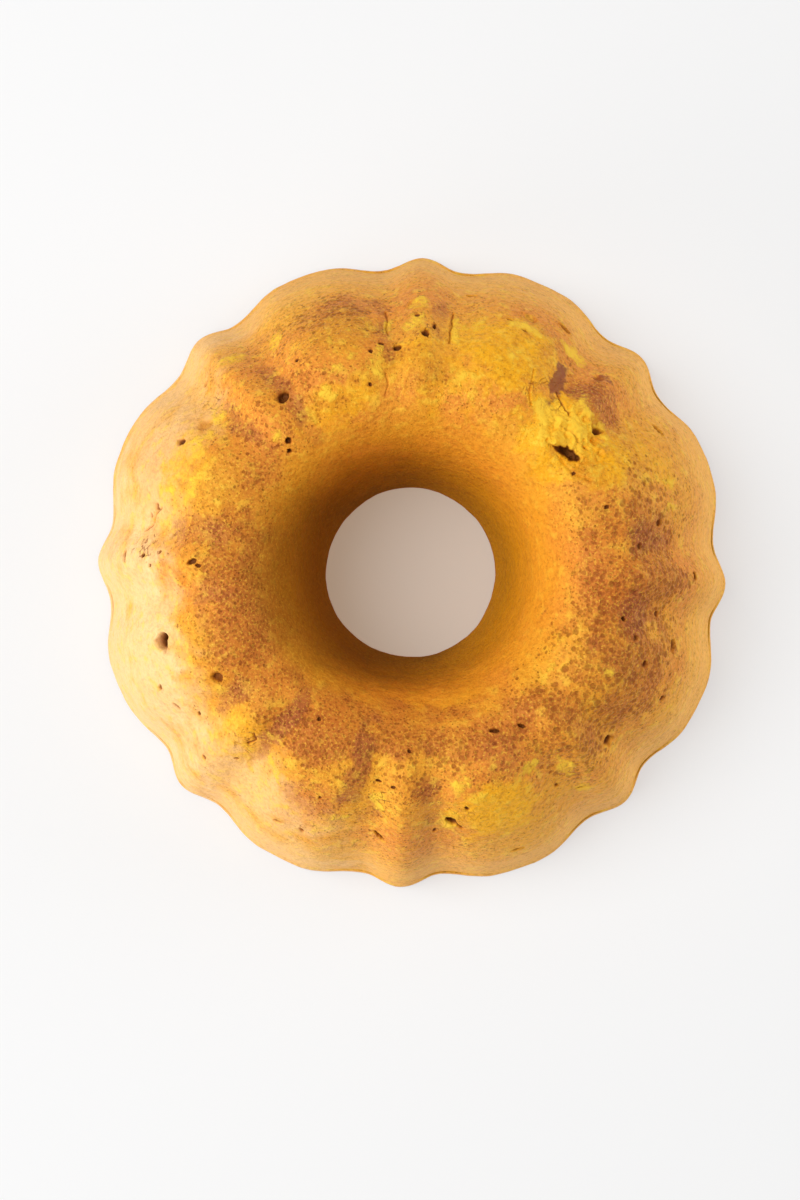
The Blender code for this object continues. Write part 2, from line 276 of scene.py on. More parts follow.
PATCHES: dict[Tint, tuple[Patch, ...]] = {
    # Where the heat browned the crust
    Tint.BROWN: (
        Patch(3, 88, 20, 18, 0.8),
        Patch(351, 80, 24, 19, 0.9),
        Patch(336, 88, 24, 22, 0.75),
        Patch(315, 80, 16, 22, 0.65),
        Patch(25, 70, 20, 9, 0.45),
        Patch(13, 82, 14, 12, 0.6),
        Patch(300, 63, 26, 9, 0.75),
        Patch(272, 59, 26, 10, 0.9),
        Patch(246, 66, 22, 11, 0.9),
        Patch(222, 69, 22, 10, 0.65),
        Patch(199, 63, 24, 11, 0.75),
        Patch(174, 63, 24, 11, 0.75),
        Patch(150, 63, 22, 9, 0.5),
        Patch(120, 70, 20, 10, 0.3),
        Patch(110, 99, 20, 12, 0.5),
        Patch(132, 98, 9, 14, 0.3),
        Patch(258, 76, 4, 14, 0.6),
        Patch(275, 78, 4, 12, 0.55),
        Patch(45, 91, 13, 9, 1),
        Patch(250, 90, 13, 11, 0.6),
        Patch(92, 72, 18, 10, 0.55),
        Patch(0, 66, 26, 9, 0.7),
        Patch(180, 60, 34, 12, 0.5),
        Patch(262, 53, 38, 10, 0.8),
    ),
    # Purple-brown valleys beside the ridges, stained crust with painted shade laid over it, and the
    # stained crust beside the torn patch
    Tint.STAIN_AND_SHADE: (
        Patch(46, 90, 10, 7, 0.7),
        Patch(10, 86, 7, 14, 0.8),
        Patch(351, 84, 10, 12, 0.85),
        Patch(338, 80, 8, 14, 0.5),
        Patch(35, 92, 6, 14, 0.4),
        Patch(172, 76, 7, 16, 0.7),
        Patch(188, 74, 6, 14, 0.6),
        Patch(217, 80, 6, 16, 0.7),
        Patch(232, 72, 4, 20, 1),
        Patch(257, 74, 5, 18, 0.85),
        Patch(262, 92, 5, 12, 0.6),
        Patch(277, 82, 5, 20, 0.65),
        Patch(297, 76, 9, 10, 0.6),
        Patch(128, 79, 4.5, 22, 0.8),
        Patch(142, 80, 5, 18, 0.65),
        Patch(99, 90, 3.5, 22, 0.65),
        Patch(86, 95, 3.5, 16, 0.6),
        Patch(106, 100, 12, 9, 0.4),
    ),
    # Dark crust left at the torn patch's edge
    Tint.SCAR: (
        Patch(54.5, 88, 3, 12, 1, 9),
        Patch(47, 99, 4, 2.2, 0.7),
    ),
    # Duller, greener crust
    Tint.OLIVE: (
        Patch(108, 92, 12, 14, 0.8),
        Patch(62, 90, 16, 16, 0.7),
        Patch(30, 86, 14, 14, 0.6),
        Patch(158, 76, 16, 12, 0.6),
        Patch(210, 76, 16, 14, 0.6),
        Patch(238, 78, 16, 14, 0.6),
        Patch(326, 88, 14, 12, 0.7),
        Patch(285, 96, 14, 12, 0.4),
    ),
    # Where the crust is full of wide pores
    Tint.PORED: (
        Patch(345, 86, 40, 24, 1),
        Patch(15, 88, 22, 20, 0.8),
        Patch(318, 84, 24, 20, 0.9),
        Patch(270, 66, 40, 12, 0.5),
        Patch(235, 70, 24, 12, 0.35),
        Patch(200, 68, 34, 12, 0.1),
        Patch(112, 98, 24, 14, 0.5),
        Patch(135, 74, 24, 14, 0.4),
    ),
    # The side toward the lamps, which the heat reached least: paler crust, lightened further as painted
    # light and sheen
    Tint.PALE_AND_LIT: (
        Patch(195, 102, 60, 22, 0.9),
        Patch(195, 117, 78, 32, 0.85),
        Patch(240, 117, 40, 26, 0.5),
        Patch(145, 117, 40, 26, 0.5),
        Patch(160, 100, 34, 20, 0.6),
        Patch(232, 100, 36, 20, 0.6),
    ),
    # Yellower crust
    Tint.YELLOW: (
        Patch(68, 86, 22, 20, 0.7),
        Patch(88, 72, 22, 13, 0.6),
        Patch(117, 64, 20, 9, 0.6),
        Patch(291, 92, 17, 17, 0.85),
        Patch(26, 96, 14, 10, 0.6),
        Patch(157, 90, 16, 14, 0.55),
        Patch(226, 88, 14, 16, 0.45),
        Patch(245, 92, 16, 14, 0.3),
        Patch(330, 60, 26, 8, 0.25),
        Patch(42, 74, 21, 17, 1),
        Patch(32, 76, 12, 12, 0.9),
    ),
    # Bare crumb, where flecks of crust stayed in the tin
    Tint.CRUMB: (
        Patch(44, 75, 11, 15, 0.85, -42),
        Patch(38, 84, 7, 6, 0.75),
        Patch(34, 73, 8, 4, 0.55),
        Patch(50, 73, 7, 6, 1),
        Patch(55, 101, 6, 5, 0.8),
        Patch(67, 85, 3.2, 3.6, 0.75),
        Patch(67, 96, 6.5, 3.2, 0.8),
        Patch(91, 97, 4, 5, 0.7),
        Patch(92, 90, 4, 6, 0.85),
        Patch(77, 92, 5, 4, 0.55),
        Patch(82, 91, 1.8, 8, 0.8),
        Patch(98, 92, 1.8, 5, 0.75),
        Patch(78, 66, 9, 9, 0.35),
        Patch(161, 84, 4.5, 5, 0.75),
        Patch(164, 91, 2, 3.4, 0.7),
        Patch(137, 67, 3.2, 3, 0.8),
        Patch(132, 102, 4.4, 5.4, 0.75),
        Patch(123, 99, 4.5, 4, 0.7),
        Patch(144, 91, 3.5, 4, 0.65),
        Patch(151, 90, 5, 3, 0.7),
        Patch(113, 76, 2.2, 2.8, 0.65),
        Patch(108, 79, 2.6, 2, 0.65),
        Patch(102, 70, 2.2, 5, 0.65),
        Patch(100.5, 82, 1.6, 4.5, 0.75),
        Patch(118, 69, 2.6, 3, 0.7),
        Patch(125, 65, 2, 4.6, 0.65),
        Patch(107, 89, 3, 2.4, 0.6),
        Patch(112, 86, 2.4, 2.4, 0.6),
        Patch(102, 92, 2.2, 2.6, 0.6),
        Patch(103, 75, 3, 4, 0.6),
        Patch(238, 86, 8, 6, 0.4),
        Patch(264, 86, 3, 7, 0.6),
        Patch(256, 94, 3.4, 3, 0.55),
        Patch(285, 78, 4.2, 3.2, 0.75),
        Patch(288, 84, 4, 3.4, 0.7),
        Patch(281, 94, 4, 5.5, 0.55),
        Patch(302, 83, 6, 3.6, 0.65),
        Patch(310, 91, 3, 6.5, 0.8),
        Patch(310, 103, 3.4, 3.4, 0.7),
        Patch(294, 101, 8, 2, 0.5),
        Patch(335, 78, 2.2, 3, 0.55),
        Patch(327, 59, 2.4, 2.4, 0.55),
        Patch(334, 106, 2.6, 2.6, 0.5),
        Patch(20, 98, 4, 4, 0.5),
        Patch(16, 97, 2.4, 3, 0.55),
    ),
    # Clusters of short cracks
    Tint.CRACKED: (
        Patch(209, 101, 9, 8, 0.5),
        Patch(176, 99, 8, 9, 0.8),
        Patch(172, 84, 9, 8, 0.6),
        Patch(145, 98, 10, 9, 0.5),
        Patch(228, 86, 6, 9, 0.6),
        Patch(246, 101, 10, 6, 0.5),
        Patch(265, 88, 4, 14, 0.6),
        Patch(90, 86, 8, 12, 0.6),
        Patch(121, 84, 5, 16, 0.5),
        Patch(283, 92, 8, 9, 0.5),
        Patch(310, 94, 6, 12, 0.6),
        Patch(55, 80, 12, 10, 0.6),
    ),
}


@dataclass(frozen=True)
class Section:
    """The ring's section over the lobes. All sizes are in metres."""

    rim_radius: float = 121.6 * MM
    funnel_radius: float = 32.6 * MM
    crown_radius: float = 70.5 * MM
    height: float = 80.0 * MM
    shoulder_radius: float = 84.5 * MM
    shoulder_height: float = 75.0 * MM
    shoulder_slope: float = math.radians(40.0)
    outer_draft: float = math.radians(15.0)
    outer_wall_top: float = 25.5 * MM
    funnel_draft: float = math.radians(11.5)
    funnel_wall_top: float = 46.0 * MM
    foot_step: float = 1.2 * MM
    foot_height: float = 3.0 * MM
    under_round: float = 2.2 * MM
    roundness: float = 0.62
    curve_points: int = 200

    def rounded(self, start: Vector, corner: Vector, end: Vector) -> list[Vector]:
        """Points of a curve that leaves start for the corner and reaches end from it."""
        first = start.lerp(corner, self.roundness)
        last = end.lerp(corner, self.roundness)
        return interpolate_bezier(start, first, last, end, self.curve_points)

    def stretches(self) -> list[tuple[list[Vector], float]]:
        """The section's lines, once round from the underside's inner edge.

        Returns:
            Each stretch's points, with the spacing that its mesh is given.
        """
        funnel_slope = math.tan(self.funnel_draft)
        funnel_foot = Vector((self.funnel_radius, 0.0, self.under_round))
        top_radius = self.funnel_radius + funnel_slope * self.funnel_wall_top
        funnel_top = Vector((top_radius, 0.0, self.funnel_wall_top))
        to_crown = self.height - self.funnel_wall_top
        funnel_corner = Vector((funnel_top.x + funnel_slope * to_crown, 0.0, self.height))
        crown = Vector((self.crown_radius, 0.0, self.height))
        shoulder = Vector((self.shoulder_radius, 0.0, self.shoulder_height))
        shoulder_run = (self.height - self.shoulder_height) / math.tan(self.shoulder_slope)
        crown_corner = Vector((self.shoulder_radius - shoulder_run, 0.0, self.height))
        wall_foot = Vector((self.rim_radius - self.foot_step, 0.0, 2.0 * self.foot_height))
        wall_run = math.tan(self.outer_draft) * (self.outer_wall_top - wall_foot.z)
        wall_top = Vector((wall_foot.x - wall_run, 0.0, self.outer_wall_top))
        side_corner = intersect_line_line(shoulder, crown_corner, wall_top, wall_foot)[0]
        foot_edge = Vector((self.rim_radius, 0.0, self.foot_height))
        rim_under = Vector((self.rim_radius - self.under_round, 0.0, 0.0))
        funnel_under = Vector((self.funnel_radius + self.under_round, 0.0, 0.0))
        return [
            (self.rounded(funnel_under, Vector((self.funnel_radius, 0.0, 0.0)), funnel_foot), 1.1 * MM),
            ([funnel_foot, funnel_top], 2.8 * MM),
            (self.rounded(funnel_top, funnel_corner, crown), 1.25 * MM),
            (self.rounded(crown, crown_corner, shoulder), 1.2 * MM),
            (self.rounded(shoulder, side_corner, wall_top), 1.35 * MM),
            ([wall_top, wall_foot], 2.2 * MM),
            ([wall_foot, foot_edge], 1.1 * MM),
            (self.rounded(foot_edge, Vector((self.rim_radius, 0.0, 0.0)), rim_under), 1.1 * MM),
            ([rim_under, funnel_under], 8.0 * MM),
        ]

    def outline(self) -> np.ndarray:
        """The closed section as evenly spaced points.

        Returns:
            One row of x, y and z for each point, without the first again at the end.
        """
        rows = []
        for line, spacing in self.stretches():
            points = np.array(line)
            run = np.concatenate([[0.0], np.cumsum(np.linalg.norm(np.diff(points, axis=0), axis=1))])
            steps = max(1, round(run[-1] / spacing))
            stops = np.linspace(0.0, run[-1], steps + 1)[:-1]
            rows.append(np.stack([np.interp(stops, run, points[:, axis]) for axis in range(3)], axis=1))
        return np.concatenate(rows)

    def crust_height(self, radius: float) -> float:
        """The height of the even ring's upper side at a radius from the axis."""
        upper = np.concatenate([np.array(line) for line, _ in self.stretches()[1:7]])
        return float(np.interp(radius, upper[:, 0], upper[:, 2]))

    def on_crust(self, bearing: float, radius: float) -> Vector:
        """The point of the even ring's upper side at a bearing in degrees and a radius."""
        return polar(bearing, radius, self.crust_height(radius))

    def downhill(self, bearing: float, radius: float) -> Vector:
        """The unit way outward along the even ring's upper side at a bearing and a radius."""
        reach = 0.5 * MM
        way = self.on_crust(bearing, radius + reach) - self.on_crust(bearing, radius - reach)
        return way.normalized()


@dataclass(frozen=True)
class Flutes:
    """The broad lobes and the narrow ridges between them."""

    count: int = 8
    ridge_share: float = 1.0 / 3.0
    depth: float = 4.6 * MM
    ridge_height: float = 0.93
    lobe_fullness: float = 5.0
    start: float = 43.0 * MM
    full: float = 91.0 * MM

    def fullness(self, angle: np.ndarray) -> np.ndarray:
        """How full the flutes are at each angle: 1 on top of a lobe, 0 in a valley."""
        pitch = 2.0 * math.pi / self.count
        across = np.abs((angle / pitch + 0.5) % 1.0 - 0.5)
        half_ridge = self.ridge_share / 2.0
        half_lobe = 0.5 - half_ridge
        ridge = self.ridge_height * np.cos(0.5 * math.pi * np.clip(across / half_ridge, 0.0, 1.0)) ** 2
        into_lobe = np.clip((across - half_ridge) / half_lobe, 0.0, 1.0)
        lobe = 1.0 - (1.0 - into_lobe**2) ** self.lobe_fullness
        return np.where(across < half_ridge, ridge, lobe)

    def press(self, points: np.ndarray) -> np.ndarray:
        """How far each point is pushed in, in metres."""
        radius = np.hypot(points[:, 0], points[:, 1])
        angle = np.arctan2(points[:, 1], points[:, 0])
        depth = self.depth * ease((radius - self.start) / (self.full - self.start))
        return depth * (1.0 - self.fullness(angle))


@dataclass(frozen=True)
class TornPatch:
    """The place where the crust stayed in the tin. All sizes are in metres."""

    bearing: float = 41.0
    radius: float = 76.0 * MM
    half_length: float = 17.0 * MM
    half_width: float = 13.0 * MM
    edge: float = 2.4
    depth: float = 1.5 * MM
    lump: float = 3.2 * MM
    lump_spread: float = 5.5 * MM
    crumb: float = 1.3 * MM
    crumb_spread: float = 2.0 * MM
    lowest: float = 40.0 * MM

    def cover(self, points: np.ndarray) -> np.ndarray:
        """How much of the torn patch covers each point of the crown, from 0 to 1."""
        middle = np.array(polar(self.bearing, self.radius).xy)
        along = np.array(polar(self.bearing, 1.0).xy)
        from_middle = points[:, :2] - middle
        radial = from_middle @ along
        across = from_middle @ np.array((-along[1], along[0]))
        reach = np.hypot(radial / self.half_width, across / self.half_length)
        on_crown = points[:, 2] > self.lowest
        return ease(self.edge * (1.0 - reach)) * on_crown

    def push(self, points: np.ndarray) -> np.ndarray:
        """How far each point stands out for the torn crumb, in metres."""
        rough = self.lump * lumps(points, self.lump_spread) - self.depth
        return self.cover(points) * (rough + self.crumb * lumps(points, self.crumb_spread))


@dataclass
class Crust:
    """The cake's whole skin, from the crown down the side, across the underside and up the funnel."""

    section: Section = field(default_factory=Section)
    flutes: Flutes = field(default_factory=Flutes)
    tear: TornPatch = field(default_factory=TornPatch)
    turns: int = 432
    swells: tuple[tuple[float, float], ...] = (
        (0.9 * MM, 46.0 * MM),
        (0.35 * MM, 13.0 * MM),
        (0.16 * MM, 5.0 * MM),
        (0.08 * MM, 2.6 * MM),
    )
    fine_margin: float = 1.2 * MM
    fine_cover: float = 0.05
    mark_height: float = 8.0 * MM
    crack_spread: float = 1.2 * MM
    patch_edge: float = 1.45
    patch_height: float = 25.0 * MM
    patch_rough: tuple[tuple[float, float], ...] = ((0.45, 7.0 * MM), (0.25, 2.8 * MM))
    inner_radius: float = 64.0 * MM
    inner_fade: float = 22.0 * MM
    baked_radius: float = 47.0 * MM
    baked_fade: float = 10.0 * MM
    # Painted shade on the funnel: darkest on the side turned from the lamps, and low in it all round
    shaded_side: float = math.radians(192.0)
    shaded_radius: float = 49.0 * MM
    shaded_reach: float = 20.0 * MM
    shaded_share: float = 0.95
    shaded_less: float = 0.3
    deep_shade_radius: float = 41.0 * MM
    deep_shade_fade: float = 7.0 * MM
    deep_shade_share: float = 0.42

    def build(self) -> bpy.types.Object:
        """Model the crust and paint its points.

        Returns:
            The crust's object, at the origin.
        """
        crust = self.turn_section()
        self.refine(crust, self.near_marks(crust, AIR_HOLES + SMALL_HOLES + DENTS, CRACKS))
        self.refine(crust, self.near_marks(crust, AIR_HOLES + SMALL_HOLES, CRACKS))
        self.shape(crust)
        crust.data.shade_smooth()
        LOG.info("crust: %d faces", len(crust.data.polygons))
        return crust

    def turn_section(self) -> bpy.types.Object:
        """Stand a circle of points on the funnel's side, shape it to the section and spin it."""
        outline = self.section.outline()
        bpy.ops.mesh.primitive_circle_add(
            vertices=len(outline), radius=self.section.height / 2.0, rotation=(math.pi / 2.0, 0.0, 0.0)
        )
        crust = bpy.context.object
        crust.name = "crust"
        crust.data.name = crust.name
        bpy.ops.object.transform_apply(location=True, rotation=True, scale=True)
        crust.data.vertices.foreach_set("co", outline.astype(np.float32).ravel())
        bpy.ops.object.mode_set(mode="EDIT")
        bpy.ops.mesh.select_all(action="SELECT")
        bpy.ops.mesh.spin(steps=self.turns, angle=2.0 * math.pi, center=(0, 0, 0), axis=(0, 0, 1))
        bpy.ops.mesh.select_all(action="SELECT")
        bpy.ops.mesh.remove_doubles(threshold=0.02 * MM)
        bpy.ops.mesh.normals_make_consistent(inside=False)
        bpy.ops.object.mode_set(mode="OBJECT")
        return crust

    def near_marks(
        self, crust: bpy.types.Object, hollows: Sequence[Hollow], cracks: Sequence[Crack]
    ) -> np.ndarray:
        """Find the faces that need a finer mesh.

        Args:
            crust: The turned crust.
            hollows: The holes and dents whose places need it.
            cracks: The cracks whose places need it.

        Returns:
            True for each such face.
        """
        centres = read_rows(crust.data.polygons, "center")
        near = self.tear.cover(centres) > self.fine_cover
        for hollow in hollows:
            middle = np.array(self.section.on_crust(hollow.bearing, hollow.radius * MM))
            reach = 0.5 * max(hollow.width, hollow.length) * MM + self.fine_margin
            near |= np.linalg.norm(centres - middle, axis=1) < reach
        for crack in cracks:
            near |= self.from_line(centres, crack) < 0.5 * crack.width * MM + self.fine_margin
        return near

    def refine(self, crust: bpy.types.Object, faces: np.ndarray) -> None:
        """Cut each of the given faces in four."""
        bpy.ops.object.mode_set(mode="EDIT")
        bpy.ops.mesh.select_mode(type="FACE")
        bpy.ops.mesh.select_all(action="DESELECT")
        bpy.ops.object.mode_set(mode="OBJECT")
        crust.data.polygons.foreach_set("select", faces)
        bpy.ops.object.mode_set(mode="EDIT")
        bpy.ops.mesh.subdivide(number_cuts=1, ngon=False, quadcorner="INNERVERT")
        bpy.ops.object.mode_set(mode="OBJECT")

    def shape(self, crust: bpy.types.Object) -> None:
        """Press the flutes, swells, torn patch and marks into the crust, and paint it."""
        mesh = crust.data
        points = read_rows(mesh.vertices, "co")
        ways = read_rows(mesh.vertex_normals, "vector")
        foot = points[:, 2] < 2.0 * self.section.foot_height
        ways[foot, 2] = 0.0
        ways /= np.maximum(np.linalg.norm(ways, axis=1), 0.01)[:, None]
        radius = np.hypot(points[:, 0], points[:, 1])
        flat = points[:, 2] < 0.01 * MM
        outward = ease((radius - self.flutes.start) / (self.section.rim_radius - self.flutes.start))
        ways[flat] = points[flat] * (outward / radius)[flat, None]
        push = self.tear.push(points) - self.flutes.press(points)
        for height, spread in self.swells:
            push += height * lumps(points, spread)
        depth, dark = self.marks(points)
        self.paint(mesh, points, dark)
        moved = points + (push - depth)[:, None] * ways
        mesh.vertices.foreach_set("co", moved.astype(np.float32).ravel())
        mesh.update()

    def from_line(self, points: np.ndarray, crack: Crack) -> np.ndarray:
        """How far each point is from a crack's line."""
        stops = [np.array(self.section.on_crust(bearing, radius * MM)) for bearing, radius in crack.line]
        nearest = np.full(len(points), 1.0)
        for start, end in zip(stops[:-1], stops[1:]):
            run = end - start
            share = np.clip(((points - start) @ run) / (run @ run), 0.0, 1.0)
            away = np.linalg.norm(points - start - share[:, None] * run, axis=1)
            nearest = np.minimum(nearest, away)
        return nearest

    def across_crust(self, points: np.ndarray, bearing: float, radius: float, turn: float) -> np.ndarray:
        """Each point's place beside a mark, measured on the crust.

        Args:
            points: One row for each point.
            bearing: The mark's bearing in degrees.
            radius: The mark's distance from the axis, in metres.
            turn: The turn of the mark's long side from the bearing, in degrees.

        Returns:
            One row for each point: how far it is along the long side, across it, and off the crust.
        """
        middle = self.section.on_crust(bearing, radius)
        out = self.section.downhill(bearing, radius)
        side = polar(bearing + 90.0, 1.0)
        angle = math.radians(turn)
        along = out * math.cos(angle) + side * math.sin(angle)
        across = side * math.cos(angle) - out * math.sin(angle)
        axes = np.array((along, across, out.cross(side)))
        return (points - np.array(middle)) @ axes.T

    def marks(self, points: np.ndarray) -> tuple[np.ndarray, np.ndarray]:
        """How deep the air holes, dents and cracks are at each point, and how dark they are painted, with
        painted shade in the deeper ones.
        """
        depth = np.zeros(len(points))
        dark = np.zeros(len(points))
        for hollow in AIR_HOLES + SMALL_HOLES + DENTS:
            beside = self.across_crust(points, hollow.bearing, hollow.radius * MM, hollow.turn)
            reach = np.hypot(beside[:, 0] / hollow.length, beside[:, 1] / hollow.width) * 2.0 / MM
            near = np.flatnonzero((reach < HOLLOW_SIDE.reach) & (np.abs(beside[:, 2]) < self.mark_height))
            ragged = HOLLOW_SIDE.ragged * lumps(points[near], 0.4 * hollow.width * MM)
            away = reach[near] * (1.0 + ragged)
            sunk = hollow.depth * MM * HOLLOW_SIDE.sunk(away)
            depth[near] = np.maximum(depth[near], sunk) - hollow.depth * MM * HOLLOW_SIDE.raised(away)
            dark[near] = np.maximum(dark[near], hollow.dark * HOLLOW_SIDE.dark(away))
        for crack in CRACKS:
            away = self.from_line(points, crack) / (0.5 * crack.width * MM)
            near = np.flatnonzero(away < CRACK_SIDE.reach)
            away = away[near] * (1.0 + CRACK_SIDE.ragged * lumps(points[near], self.crack_spread))
            depth[near] = np.maximum(depth[near], crack.depth * MM * CRACK_SIDE.sunk(away))
            dark[near] = np.maximum(dark[near], crack.dark * CRACK_SIDE.dark(away))
        return depth, dark

    def paint(self, mesh: bpy.types.Mesh, points: np.ndarray, dark: np.ndarray) -> None:
        """Store each tint's strength and the other values that the finish reads on the points.

        The others are how dark the holes are, their middles painted shade, the underside, and three
        shares of the funnel: its baked wall, its inner mouth, and painted shade on the side turned
        from the lamps and low in the funnel all round.

        Args:
            mesh: The crust's mesh.
            points: Its points, before they are moved.
            dark: How dark the holes and cracks are at each point.
        """
        (coarse, coarse_spread), (close, close_spread) = self.patch_rough
        rough = coarse * lumps(points, coarse_spread) + close * lumps(points + 1.0, close_spread)
        for tint, patches in PATCHES.items():
            cover = np.zeros(len(points))
            for patch in patches:
                beside = self.across_crust(points, patch.bearing, patch.radius * MM, patch.turn)
                reach = np.hypot(beside[:, 0] / patch.half_along, beside[:, 1] / patch.half_across) / MM
                near = np.abs(beside[:, 2]) < self.patch_height
                cover = np.maximum(cover, patch.strength * ease(self.patch_edge - reach + rough) * near)
            self.store(mesh, tint.value, cover)
        self.store(mesh, "hollow", dark)
        self.store(mesh, "under", ease((1.4 * MM - points[:, 2]) / MM))
        radius = np.hypot(points[:, 0], points[:, 1])
        facing = np.cos(np.arctan2(points[:, 1], points[:, 0]) - self.shaded_side)
        self.store(mesh, "baked", ease((self.baked_radius - radius) / self.baked_fade + rough * 0.3))
        self.store(mesh, "inner", ease((self.inner_radius - radius) / self.inner_fade + rough * 0.2))
        towards = np.maximum(facing, 0.0)
        edge = self.shaded_radius + self.shaded_reach * towards**2
        shaded = ease((edge - radius) / self.inner_fade + rough * 0.2) * ease(0.95 + 0.8 * facing)
        shaded *= self.shaded_share - self.shaded_less * towards
        # Painted shade low in the funnel, all round
        deep = self.deep_shade_share * ease((self.deep_shade_radius - radius) / self.deep_shade_fade)
        self.store(mesh, "shaded", np.maximum(shaded, deep))

    @staticmethod
    def store(mesh: bpy.types.Mesh, name: str, values: np.ndarray) -> None:
        """Keep a value for each point under a name that the finish reads."""
        layer = mesh.attributes.new(name, "FLOAT", "POINT")
        layer.data.foreach_set("value", values.astype(np.float32))


class Value:
    """A socket of a finish's nodes, which Python's operators work on."""

    def __init__(self, graph: Graph, socket: bpy.types.NodeSocket) -> None:
        """Hold a socket and the graph that it is in."""
        self.graph = graph
        self.socket = socket

    def __add__(self, other: Operand) -> Value:
        """This plus another."""
        return self.graph.math("ADD", self, other)

    def __sub__(self, other: Operand) -> Value:
        """This less another."""
        return self.graph.math("SUBTRACT", self, other)

    def __rsub__(self, other: Operand) -> Value:
        """Another less this."""
        return self.graph.math("SUBTRACT", other, self)

    def __mul__(self, other: Operand) -> Value:
        """This times another."""
        return self.graph.math("MULTIPLY", self, other)

    __radd__ = __add__
    __rmul__ = __mul__

    def at_most(self, other: Operand) -> Value:
        """The smaller of this and another."""
        return self.graph.math("MINIMUM", self, other)

    def at_least(self, other: Operand) -> Value:
        """The larger of this and another."""
        return self.graph.math("MAXIMUM", self, other)

    def rise(self, low: Operand, high: Operand) -> Value:
        """A smooth step from 0 at low to 1 at high, or down again where low is the larger."""
        return self.graph.add(
            "ShaderNodeMapRange",
            {"interpolation_type": "SMOOTHSTEP"},
            {"Value": self, "From Min": low, "From Max": high},
        )


Operand = Value | float
Colour = tuple[float, float, float, float]


class Graph:
    """The nodes of one material."""

    def __init__(self, material: bpy.types.Material) -> None:
        """Start from the material's own shader node."""
        material.use_nodes = True
        self.tree = material.node_tree
        self.shader = self.tree.nodes["Principled BSDF"]

    def add(
        self,
        kind: str,
        settings: Mapping[str, Any] | None = None,
        sockets: Mapping[str | int, Any] | None = None,
        output: str | int = 0,
    ) -> Value:
        """Add a node.

        Args:
            kind: The node's type.
            settings: What is set on the node itself, before its sockets.
            sockets: The value or the link of each input, by name or number.
            output: The output that is handed back.

        Returns:
            The node's output.
        """
        node = self.tree.nodes.new(kind)
        for name, setting in (settings or {}).items():
            setattr(node, name, setting)
        self.plug(node, sockets or {})
        return Value(self, node.outputs[output])

    def plug(self, node: bpy.types.Node, sockets: Mapping[str | int, Any]) -> None:
        """Link values to a node's inputs, or set plain numbers and colours on them."""
        for name, value in sockets.items():
            if isinstance(value, Value):
                self.tree.links.new(value.socket, node.inputs[name])
            else:
                node.inputs[name].default_value = value

    def math(self, operation: str, first: Operand, second: Operand) -> Value:
        """A sum, product or the like of two values."""
        return self.add("ShaderNodeMath", {"operation": operation}, {0: first, 1: second})

    def blend(self, share: Operand, start: Any, end: Any, mode: str = "MIX") -> Value:
        """Mix two colours: all start at 0, and at 1 all end, or start times end to multiply."""
        settings = {"data_type": "RGBA", "blend_type": mode}
        return self.add("ShaderNodeMix", settings, {0: share, 6: start, 7: end}, 2)

    def layers(self, ground: Value, coats: Sequence[tuple[Operand, Any]]) -> Value:
        """Lay coats over a ground colour, each with the share that it covers."""
        for share, colour in coats:
            ground = self.blend(share, ground, colour)
        return ground

    def attribute(self, name: str) -> Value:
        """A value that the mesh's points hold."""
        return self.add("ShaderNodeAttribute", {"attribute_name": name}, output="Fac")

    def cloud(self, place: Value, size: float, detail: float = 2.0, rough: float = 0.5) -> Value:
        """Noise from 0 to 1 with blotches about size across, in metres."""
        sockets = {"Vector": place, "Scale": 1.0 / size, "Detail": detail, "Roughness": rough}
        return self.add("ShaderNodeTexNoise", None, sockets)

    def spots(self, place: Value, cell: float, radius: Operand) -> Value:
        """Round spots scattered about a cell apart.

        Args:
            place: The coordinates that the spots are scattered in.
            cell: The mean distance from one spot to the next, in metres.
            radius: The spots' radius, as a share of the cell.

        Returns:
            1 in the spots' middles and 0 between them.
        """
        away = self.add("ShaderNodeTexVoronoi", None, {"Vector": place, "Scale": 1.0 / cell}, "Distance")
        return away.rise(radius, radius * 0.5)

    def seams(self, place: Value, cell: float, width: float) -> Value:
        """Thin lines round cells: 1 on a line, and 0 beyond the given share of the cell from it."""
        away = self.add(
            "ShaderNodeTexVoronoi",
            {"feature": "DISTANCE_TO_EDGE"},
            {"Vector": place, "Scale": 1.0 / cell},
            "Distance",
        )
        return away.rise(width, 0.0)


def tone(red: int, green: int, blue: int) -> Colour:
    """A colour given as a screen shows it, from 0 to 255, in the linear values that nodes take."""
    parts = (((part / 255 + 0.055) / 1.055) ** 2.4 for part in (red, green, blue))
    return (*parts, 1.0)


@dataclass(frozen=True)
class Grain:
    """The spacing of the crust's clouds, pores and cracks, and the heights of its low tints, in metres."""

    broad: float = 30.0 * MM
    mid: float = 9.0 * MM
    patchy: float = 4.2 * MM
    fine: float = 1.6 * MM
    grain: float = 0.9 * MM
    wander: float = 2.2 * MM
    wander_reach: float = 1.1 * MM
    speckle: float = 1.4 * MM
    small: float = 2.3 * MM
    large: float = 2.9 * MM
    wide: float = 5.2 * MM
    crack: float = 3.4 * MM
    crack_break: float = 3.0 * MM
    # Where the lower wall's painted light begins and where it is full
    low_light_start: float = 58.0 * MM
    low_light_full: float = 26.0 * MM
    foot_start: float = 3.6 * MM
    foot_full: float = 2.2 * MM


